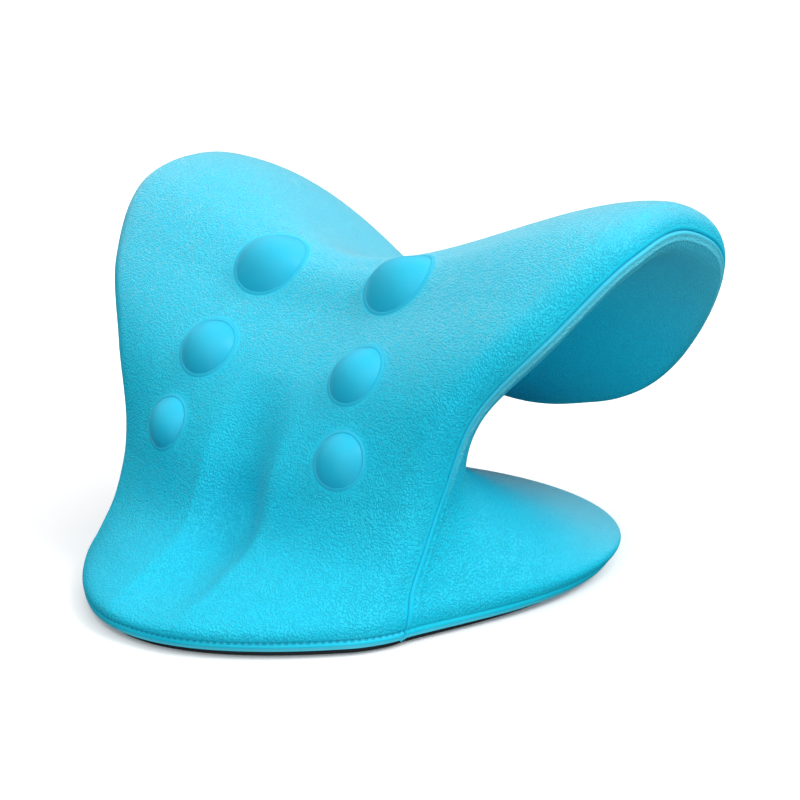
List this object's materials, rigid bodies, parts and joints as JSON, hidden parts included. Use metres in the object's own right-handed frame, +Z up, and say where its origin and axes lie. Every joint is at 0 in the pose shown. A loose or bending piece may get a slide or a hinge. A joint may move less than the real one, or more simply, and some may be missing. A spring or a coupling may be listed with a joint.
{
  "type": "cervical traction device",
  "caption": "Moulded foam neck stretcher: a ramp with smooth massage domes, a curved cradle between two wings, and a low rear foot on a non-slip sole.",
  "frame": {"origin": "on the table, at the middle of the sole (mount base_rest)", "axes": "+X across the wings, to the right of someone facing the ramp; +Y from the toe of the ramp towards the head end; +Z up"},
  "size_m": [0.2356, 0.2278, 0.1371],
  "materials": {
    "foam": "matt moulded foam",
    "grained_skin": "fine leather-like grain, soft sheen",
    "smooth_dome": "smooth, soft sheen",
    "sole": "matt"
  },
  "bodies": {
    "foam_body": {"foam_core": "foam", "front_skin": "grained_skin", "rear_skin": "grained_skin", "base_pad": "sole"},
    "massage_dome_lower_left_body": {"massage_dome_lower_left": "smooth_dome"},
    "massage_dome_lower_right_body": {"massage_dome_lower_right": "smooth_dome"},
    "massage_dome_middle_left_body": {"massage_dome_middle_left": "smooth_dome"},
    "massage_dome_middle_right_body": {"massage_dome_middle_right": "smooth_dome"},
    "massage_dome_upper_left_body": {"massage_dome_upper_left": "smooth_dome"},
    "massage_dome_upper_right_body": {"massage_dome_upper_right": "smooth_dome"}
  },
  "joints": [
    {"name": "press_lower_left_slide", "type": "slide", "parent": "foam_body", "child": "massage_dome_lower_left_body", "axis": [0.1226, 0.9007, -0.4168], "range_m": [0, 0.004], "stiffness_N_per_m": 3000},
    {"name": "press_lower_right_slide", "type": "slide", "parent": "foam_body", "child": "massage_dome_lower_right_body", "axis": [-0.1226, 0.9007, -0.4168], "range_m": [0, 0.004], "stiffness_N_per_m": 3000},
    {"name": "press_middle_left_slide", "type": "slide", "parent": "foam_body", "child": "massage_dome_middle_left_body", "axis": [-0.1013, 0.7427, -0.662], "range_m": [0, 0.004], "stiffness_N_per_m": 4000},
    {"name": "press_middle_right_slide", "type": "slide", "parent": "foam_body", "child": "massage_dome_middle_right_body", "axis": [0.1013, 0.7427, -0.662], "range_m": [0, 0.004], "stiffness_N_per_m": 4000},
    {"name": "press_upper_left_slide", "type": "slide", "parent": "foam_body", "child": "massage_dome_upper_left_body", "axis": [-0.1216, 0.65, -0.7502], "range_m": [0, 0.004], "stiffness_N_per_m": 5000},
    {"name": "press_upper_right_slide", "type": "slide", "parent": "foam_body", "child": "massage_dome_upper_right_body", "axis": [0.1216, 0.65, -0.7502], "range_m": [0, 0.004], "stiffness_N_per_m": 5000}
  ]
}
